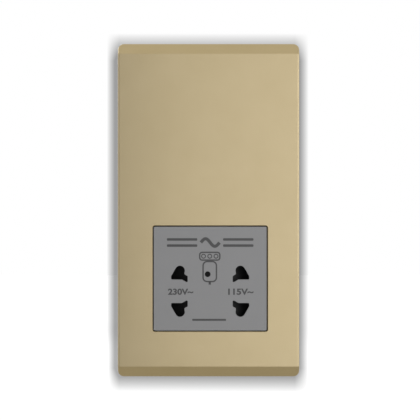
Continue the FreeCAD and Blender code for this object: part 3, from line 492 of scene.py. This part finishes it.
# The same in black, duller still
black_ink = moulded("black pad-printing ink", "#0C0C0C", "#101011", 0.7, 0.2, 0.002, 0.1)
# Drawn through a die: bright, with streaks along the wire
spring_steel = metal("drawn spring steel", "#A9ABB0", "#9A9CA2", 0.28, 0.2, (0.1, 1, 1), 0.003)
# Rolled strip: a warm orange brown with fine lines from the rolls
bronze = metal("rolled phosphor bronze", "#C98F5B", "#BD8350", 0.3, 0.4, (1, 0.08, 1), 0.003)
# Turned and drilled: a clear yellow with fine tool lines
terminal_brass = metal(
    "machined terminal brass", "#D9B765", "#CDAA58", 0.27, 0.3, (1, 1, 0.1), 0.004
)
# Plated and passivated: a cool, pale and faintly cloudy grey
zinc = metal("bright zinc plate", "#C4C7CC", "#B4B8BF", 0.3, 0.6, (1, 1, 1), 0.004)
# Dipped in tin: silvery and soft
tin = metal("tinned brass", "#CFCFCB", "#BFBFBA", 0.24, 0.5, (1, 0.2, 1), 0.003)
# Copper under clear enamel, wound level: a ridge at each turn, with painted shade turning it dark
# red brown in the grooves
copper = enamelled_wire()
# Rolled plates on edge: dark with oxide, a line at each plate
laminations = stacked_laminations()

FINISHES = {
    "front_plate": satin_brass,
    "mounting_frame": frame_plastic,
    "socket_face": face_plastic,
    "shutter_230v": shutter_plastic,
    "shutter_115v": shutter_plastic,
    "shutter_spring_230v": spring_steel,
    "shutter_spring_115v": spring_steel,
    "start_switch_230v": switch_plastic,
    "start_switch_115v": switch_plastic,
    "switch_plunger_230v": plunger_plastic,
    "switch_plunger_115v": plunger_plastic,
    "contact_230v_upper": bronze,
    "contact_230v_lower": bronze,
    "contact_115v_upper": bronze,
    "contact_115v_lower": bronze,
    "contact_carrier": carrier_plastic,
    "rear_case": case_plastic,
    "case_screws": zinc,
    "transformer_core": laminations,
    "transformer_bobbin": bobbin_plastic,
    "primary_winding": copper,
    "secondary_winding": copper,
    "bobbin_tags": tin,
    "thermal_cutout": cutout_plastic,
    "core_clamp": zinc,
    "terminal_block": block_plastic,
    "live_terminal": terminal_brass,
    "earth_terminal": terminal_brass,
    "neutral_terminal": terminal_brass,
    "terminal_screws": zinc,
    "earth_clip": bronze,
}


def finish_nodes():
    """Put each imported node's finish in its slots."""
    for name, material in FINISHES.items():
        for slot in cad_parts[name].material_slots:
            slot.material = material


# Print on the face

def flat_bar(middle, width, height, depth):
    """A flat bar with small corner radii, square to y, with its middle at a place."""
    bpy.ops.mesh.primitive_cube_add(size=1, location=middle)
    bar = bpy.context.object
    bar.scale = (width, depth, height)
    pick(bar)
    bpy.ops.object.transform_apply(location=False, rotation=False, scale=True)
    bpy.ops.object.mode_set(mode="EDIT")
    bpy.ops.mesh.select_mode(type="EDGE")
    bpy.ops.mesh.select_all(action="DESELECT")
    bpy.ops.object.mode_set(mode="OBJECT")
    for edge in bar.data.edges:
        ends = [bar.data.vertices[i].co for i in edge.vertices]
        edge.select = abs(ends[0].y - ends[1].y) > depth / 2
    bpy.ops.object.mode_set(mode="EDIT")
    bpy.ops.mesh.bevel(offset=min(width, height) * BAR_CORNER, segments=2)
    bpy.ops.object.mode_set(mode="OBJECT")
    return bar


def printed_bar(x, z, width, height):
    """A printed bar at a place measured from the face's middle."""
    return flat_bar((FACE_X + x, FACE_FRONT - INK / 2, FACE_Z + z), width, height, INK)


def printed_stroke(points, width, closed=False):
    """A printed line of a width along points on the face."""
    curve = bpy.data.curves.new("stroke", "CURVE")
    curve.dimensions = "2D"
    run = curve.splines.new("POLY")
    run.points.add(len(points) - 1)
    for place, (x, z) in zip(run.points, points):
        place.co = (x, z, 0, 1)
    run.use_cyclic_u = closed
    line = bpy.data.objects.new("stroke", curve)
    bpy.context.scene.collection.objects.link(line)
    pick(line)
    bpy.ops.object.convert(target="MESH")
    line = bpy.context.object
    pick(line)
    bpy.ops.object.mode_set(mode="EDIT")
    bpy.ops.mesh.select_all(action="SELECT")
    bpy.ops.mesh.extrude_edges_move(TRANSFORM_OT_translate={"value": (0, 0, INK)})
    bpy.ops.object.mode_set(mode="OBJECT")
    thick = line.modifiers.new("Thick", "SOLIDIFY")
    thick.thickness = width
    thick.offset = 0
    bpy.ops.object.modifier_apply(modifier=thick.name)
    line.rotation_euler = (math.radians(90), 0, 0)
    line.location = (FACE_X, FACE_FRONT, FACE_Z)
    bpy.ops.object.transform_apply(location=True, rotation=True, scale=True)
    return line


def wave_points(x, z, width, height, steps=24):
    """One period of the sign for alternating current."""
    return [
        (x + width * (i / steps - 0.5), z + height / 2 * math.sin(2 * math.pi * i / steps))
        for i in range(steps + 1)
    ]


def rounded_loop(x, z, width, height, radius, steps=6):
    """Points round a rectangle with rounded corners."""
    points = []
    for quarter, (sx, sz) in enumerate(((1, 1), (-1, 1), (-1, -1), (1, -1))):
        cx = x + sx * (width / 2 - radius)
        cz = z + sz * (height / 2 - radius)
        for i in range(steps + 1):
            turn = math.pi / 2 * (quarter + i / steps)
            points.append((cx + radius * math.cos(turn), cz + radius * math.sin(turn)))
    return points


def print_heading():
    """Two pairs of rules with the sign for alternating current between them."""
    bars = [
        printed_bar(side * RULE_REACH, RULE_RISE + row * RULE_STEP / 2, RULE_LENGTH, RULE_STROKE)
        for side in (-1, 1)
        for row in (-1, 1)
    ]
    wave = wave_points(0, RULE_RISE, WAVE_WIDTH, WAVE_HEIGHT)
    bars.append(printed_stroke(wave, WAVE_STROKE))
    settle(join(bars), "printed_heading", ink)


def print_voltage(number):
    """The outlet's voltage with the sign for alternating current after it."""
    bpy.ops.object.text_add()
    text = bpy.context.object
    text.data.body = number + "V~"
    text.data.align_x = "CENTER"
    text.data.align_y = "CENTER"
    text.data.extrude = INK / 2
    text.data.resolution_u = LETTER_STEPS
    text.data.offset = VOLTAGE_WEIGHT
    pick(text)
    bpy.ops.object.convert(target="MESH")
    label = bpy.context.object
    label.scale = (VOLTAGE_WIDTH / label.dimensions.x, VOLTAGE_HEIGHT / label.dimensions.y, 1)
    bpy.ops.object.transform_apply(location=False, rotation=False, scale=True)
    low = min(v.co.y for v in label.data.vertices)
    high = max(v.co.y for v in label.data.vertices)
    left = min(v.co.x for v in label.data.vertices)
    right = max(v.co.x for v in label.data.vertices)
    middle_x = (left + right) / 2
    middle_z = (low + high) / 2
    label.rotation_euler = (math.radians(90), 0, 0)
    label.location = (
        FACE_X + VOLTAGE_X[number] - middle_x,
        FACE_FRONT - INK / 2,
        FACE_Z + VOLTAGE_RISE - middle_z,
    )
    settle(label, f"printed_{number}v", ink)


def print_shaver():
    """A plain electric shaver from the front: body, three-headed top, switch dot, cord stub."""
    body_width = SHAVER_WIDTH * BODY_WIDTH
    body_height = SHAVER_HEIGHT * BODY_HEIGHT
    top_height = SHAVER_HEIGHT * TOP_HEIGHT
    top_z = SHAVER_Z + SHAVER_HEIGHT / 2 - top_height / 2
    body_z = top_z - top_height / 2 - body_height / 2 - STROKE
    top_width = SHAVER_WIDTH - STROKE
    top = rounded_loop(SHAVER_X, top_z, top_width, top_height, top_height * TOP_CORNER)
    body = rounded_loop(SHAVER_X, body_z, body_width, body_height, body_width * BODY_CORNER)
    strokes = [printed_stroke(top, STROKE, closed=True), printed_stroke(body, STROKE, closed=True)]
    head = top_height * HEAD_SIZE
    for step in (-1, 0, 1):
        x = SHAVER_X + step * SHAVER_WIDTH * HEAD_PITCH
        ring = rounded_loop(x, top_z, head, head, top_height * HEAD_CORNER)
        strokes.append(printed_stroke(ring, HEAD_STROKE, closed=True))
    stub_top = body_z - body_height / 2
    stub_end = SHAVER_Z - SHAVER_HEIGHT / 2
    strokes.append(printed_stroke([(SHAVER_X, stub_top), (SHAVER_X, stub_end)], CORD_STROKE))
    settle(join(strokes), "printed_shaver", ink)
    bpy.ops.mesh.primitive_cylinder_add(
        vertices=DOT_SIDES,
        radius=DOT_DIAMETER / 2,
        depth=INK,
        rotation=(math.radians(90), 0, 0),
        location=(FACE_X + DOT_X, FACE_FRONT - INK / 2, FACE_Z + DOT_Z),
    )
    settle(bpy.context.object, "printed_dot", black_ink)


def print_foot_rule():
    """One short rule near the face's lower edge."""
    settle(printed_bar(FOOT_X, FOOT_RISE, FOOT_WIDTH, FOOT_STROKE), "printed_foot_rule", ink)


# Raised marks on the terminal block, read from behind

def mark_letter(letter, terminal):
    """A raised letter over a terminal's screw."""
    low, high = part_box(terminal)
    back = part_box("terminal_block")[1].y
    bpy.ops.object.text_add()
    text = bpy.context.object
    text.data.body = letter
    text.data.align_x = "CENTER"
    text.data.align_y = "CENTER"
    text.data.extrude = MARK_RELIEF / 2
    text.data.resolution_u = LETTER_STEPS
    pick(text)
    bpy.ops.object.convert(target="MESH")
    mark = bpy.context.object
    share = MARK_HEIGHT / mark.dimensions.y
    mark.scale = (share, share, 1)
    mark.rotation_euler = (math.radians(90), 0, math.radians(180))
    mark.location = ((low.x + high.x) / 2, back + MARK_RELIEF / 2, MARK_Z)
    settle(mark, "mark_" + terminal, block_plastic)


def mark_earth():
    """The raised earth sign: a stem and three bars, each shorter than the one above."""
    low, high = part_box("earth_terminal")
    x = (low.x + high.x) / 2
    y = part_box("terminal_block")[1].y + MARK_RELIEF / 2
    bars = [
        flat_bar((x, y, MARK_Z + MARK_HEIGHT / 4), MARK_STROKE, MARK_HEIGHT / 2, MARK_RELIEF)
    ]
    for step in range(EARTH_BARS):
        width = MARK_HEIGHT * (1 - step / EARTH_BARS)
        middle = (x, y, MARK_Z - step * MARK_STROKE * 2)
        bars.append(flat_bar(middle, width, MARK_STROKE, MARK_RELIEF))
    mark = join(bars)
    settle(mark, "mark_earth_terminal", block_plastic)


# Shutter springs

def make_spring(voltage):
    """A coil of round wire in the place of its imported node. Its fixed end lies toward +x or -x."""
    low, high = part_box(f"shutter_spring_{voltage}")
    length = high.x - low.x
    coil_radius = (high.z - low.z) / 2 - SPRING_WIRE / 2
    middle = (low + high) / 2
    bpy.ops.mesh.primitive_circle_add(
        vertices=WIRE_SIDES,
        radius=SPRING_WIRE / 2,
        rotation=(math.radians(90), 0, 0),
        location=(low.x + SPRING_WIRE / 2, middle.y, middle.z),
    )
    spring = bpy.context.object
    pick(spring)
    bpy.ops.object.transform_apply(location=False, rotation=True, scale=False)
    bpy.ops.object.mode_set(mode="EDIT")
    bpy.ops.mesh.select_all(action="SELECT")
    bpy.ops.transform.translate(value=(0, 0, coil_radius))
    bpy.ops.object.mode_set(mode="OBJECT")
    coil = spring.modifiers.new("Coil", "SCREW")
    coil.axis = "X"
    coil.angle = 2 * math.pi
    coil.iterations = SPRING_TURNS
    coil.screw_offset = (length - SPRING_WIRE) / SPRING_TURNS
    coil.steps = TURN_STEPS
    coil.render_steps = TURN_STEPS
    bpy.ops.object.modifier_apply(modifier=coil.name)
    bpy.ops.object.mode_set(mode="EDIT")
    bpy.ops.mesh.select_all(action="SELECT")
    bpy.ops.mesh.fill_holes(sides=0)
    bpy.ops.object.mode_set(mode="OBJECT")
    settle(spring, f"coil_spring_{voltage}", spring_steel)
    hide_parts(f"shutter_spring_{voltage}")
    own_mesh(spring)


# Set: floor, shadow, cards, lamps and camera

def seen_rays(owner):
    """One for what the camera, a mirror or glass sees, and nothing for what lights the object."""
    rays = add_node(owner, "ShaderNodeLightPath").outputs
    direct = add_node(
        owner,
        "ShaderNodeMath",
        {"operation": "MAXIMUM"},
        {0: rays["Is Camera Ray"], 1: rays["Is Glossy Ray"]},
    )
    through = add_node(
        owner,
        "ShaderNodeMath",
        {"operation": "MAXIMUM"},
        {0: direct.outputs[0], 1: rays["Is Transmission Ray"]},
    )
    return through.outputs[0]


def make_floor():
    """A white floor under the object, a little below the picture; it keeps the object's shadow."""
    bpy.ops.mesh.primitive_plane_add(size=FLOOR_SIZE, location=(0, 0, FLOOR_Z))
    floor = bpy.context.object
    floor.name = "floor"
    material = start_material("white floor")
    paint = add_node(material, "ShaderNodeBsdfDiffuse", {}, {"Color": linear(FLOOR_COLOUR)})
    place = add_node(material, "ShaderNodeTexCoord").outputs["Object"]
    away = add_node(material, "ShaderNodeVectorMath", {"operation": "LENGTH"}, {0: place})
    strength = add_node(
        material,
        "ShaderNodeMapRange",
        {},
        {
            "Value": away.outputs["Value"],
            "From Min": FLOOR_REACH[0],
            "From Max": FLOOR_REACH[1],
            "To Min": FLOOR_GLOW[0],
            "To Max": FLOOR_GLOW[1],
        },
    )
    glow = add_node(
        material, "ShaderNodeEmission", {}, {"Strength": strength.outputs["Result"]}
    )
    none = add_node(material, "ShaderNodeEmission", {}, {"Strength": 0})
    seen = add_node(
        material,
        "ShaderNodeMixShader",
        {},
        {0: seen_rays(material), 1: none.outputs[0], 2: glow.outputs[0]},
    )
    both = add_node(
        material, "ShaderNodeAddShader", {}, {0: paint.outputs[0], 1: seen.outputs[0]}
    )
    floor.data.materials.append(end_material(material, both.outputs[0]))


def make_shadow():
    """The plate's soft shadow on a white wall: a clear film round the plate, in the wall's plane,
    that darkens near the plate, in from each of its four sides. Only the camera sees it."""
    low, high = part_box("front_plate")
    bpy.ops.mesh.primitive_plane_add(
        size=1,
        rotation=(math.radians(90), 0, 0),
        location=((low.x + high.x) / 2, SHADOW_Y, (low.z + high.z) / 2),
    )
    film = bpy.context.object
    film.name = "shadow_film"
    film.scale = (high.x - low.x + 2 * SHADOW_MARGIN, high.z - low.z + 2 * SHADOW_MARGIN, 1)
    pick(film)
    bpy.ops.object.transform_apply(location=True, rotation=True, scale=True)
    bpy.ops.object.mode_set(mode="EDIT")
    bpy.ops.mesh.select_mode(type="FACE")
    bpy.ops.mesh.select_all(action="SELECT")
    bpy.ops.mesh.inset(thickness=SHADOW_MARGIN)
    bpy.ops.mesh.bevel(offset=PLATE_CORNER, segments=PLATE_CORNER_STEPS, affect="VERTICES")
    bpy.ops.mesh.select_all(action="DESELECT")
    bpy.ops.object.mode_set(mode="OBJECT")
    max(film.data.polygons, key=lambda face: len(face.vertices)).select = True
    bpy.ops.object.mode_set(mode="EDIT")
    bpy.ops.mesh.delete(type="FACE")
    bpy.ops.object.mode_set(mode="OBJECT")
    material = start_material("shadow film")
    place = add_node(material, "ShaderNodeTexCoord").outputs["Object"]
    apart = add_node(material, "ShaderNodeSeparateXYZ", {}, {"Vector": place})
    shadow = None
    for axis, start, width in SHADOW_SIDES:
        share = add_node(
            material,
            "ShaderNodeMapRange",
            {},
            {"Value": apart.outputs[axis], "From Min": start, "From Max": start + width},
        ).outputs["Result"]
        if shadow is None:
            shadow = share
        else:
            both = add_node(
                material, "ShaderNodeMath", {"operation": "MULTIPLY"}, {0: shadow, 1: share}
            )
            shadow = both.outputs[0]
    shade = add_node(
        material,
        "ShaderNodeMath",
        {"operation": "MULTIPLY_ADD"},
        {0: shadow, 1: -SHADOW_DEPTH, 2: 1},
    )
    least = add_node(
        material,
        "ShaderNodeMath",
        {"operation": "MAXIMUM"},
        {0: shade.outputs[0], 1: 1 - SHADOW_LIMIT},
    )
    light = add_node(
        material, "ShaderNodeMath", {"operation": "POWER"}, {0: least.outputs[0], 1: SHADOW_POWER}
    )
    surface = add_node(material, "ShaderNodeBsdfTransparent", {}, {"Color": light.outputs[0]})
    film.data.materials.append(end_material(material, surface.outputs[0]))
    film.visible_diffuse = False
    film.visible_glossy = False
    film.visible_shadow = False
    film.visible_transmission = False


def make_card(name, place, size, turn, colour, light):
    """A card that only reflections see. Its light is a share of white, so a dim card shades."""
    bpy.ops.mesh.primitive_plane_add(
        size=1, rotation=(0, math.radians(turn), 0), location=place
    )
    card = bpy.context.object
    card.name = name
    card.scale = (*size, 1)
    material = start_material(name)
    glow = add_node(
        material, "ShaderNodeEmission", {}, {"Color": linear(colour), "Strength": light}
    )
    card.data.materials.append(end_material(material, glow.outputs[0]))
    card.visible_camera = False
    card.visible_diffuse = False
    card.visible_shadow = False
    card.visible_transmission = False


def add_lamp(name, place, size, power):
    """A soft lamp at a place, turned to the lamps' point."""
    data = bpy.data.lights.new(name, "AREA")
    data.shape = "RECTANGLE"
    data.size, data.size_y = size
    data.energy = power
    lamp = bpy.data.objects.new(name, data)
    bpy.context.scene.collection.objects.link(lamp)
    lamp.location = place
    lamp.rotation_euler = (Vector(LAMP_AIM) - Vector(place)).to_track_quat("-Z", "Y").to_euler()
    lamp.visible_camera = False


def light_world():
    """Even light from all round, and white where it is seen."""
    world = bpy.context.scene.world or bpy.data.worlds.new("World")
    bpy.context.scene.world = world
    world.use_nodes = True
    world.node_tree.nodes.clear()
    strength = add_node(
        world,
        "ShaderNodeMapRange",
        {},
        {"Value": seen_rays(world), "To Min": WORLD_LIGHT, "To Max": WORLD_SEEN},
    )
    sky = add_node(
        world,
        "ShaderNodeBackground",
        {},
        {"Color": linear("#FFFFFF"), "Strength": strength.outputs["Result"]},
    )
    add_node(world, "ShaderNodeOutputWorld", {}, {"Surface": sky.outputs[0]})


def make_camera():
    """Straight in front of the plate, at the distance that gives its size in the picture."""
    data = bpy.data.cameras.new("camera")
    data.lens = LENS
    data.sensor_width = SENSOR
    data.clip_start = NEAREST
    data.clip_end = FARTHEST
    camera = bpy.data.objects.new("camera", data)
    bpy.context.scene.collection.objects.link(camera)
    plate_low, plate_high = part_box("front_plate")
    middle = (plate_low + plate_high) / 2
    distance = PIXELS * PIXEL * LENS / SENSOR
    camera.location = (
        middle.x - (PLATE_PIXEL_X - PIXELS / 2) * PIXEL,
        plate_low.y - distance,
        middle.z + (PLATE_PIXEL_Y - PIXELS / 2) * PIXEL,
    )
    camera.rotation_euler = (math.radians(90), 0, 0)
    bpy.context.scene.camera = camera


bpy.context.scene.view_settings.view_transform = "Standard"
finish_nodes()
print_heading()
for voltage_number in VOLTAGE_X:
    print_voltage(voltage_number)
print_shaver()
print_foot_rule()
mark_letter("L", "live_terminal")
mark_letter("N", "neutral_terminal")
mark_earth()
make_spring("230v")
make_spring("115v")
make_floor()
make_shadow()
for card_values in CARDS:
    make_card(*card_values)
light_world()
for lamp_values in LAMPS:
    add_lamp(*lamp_values)
make_camera()
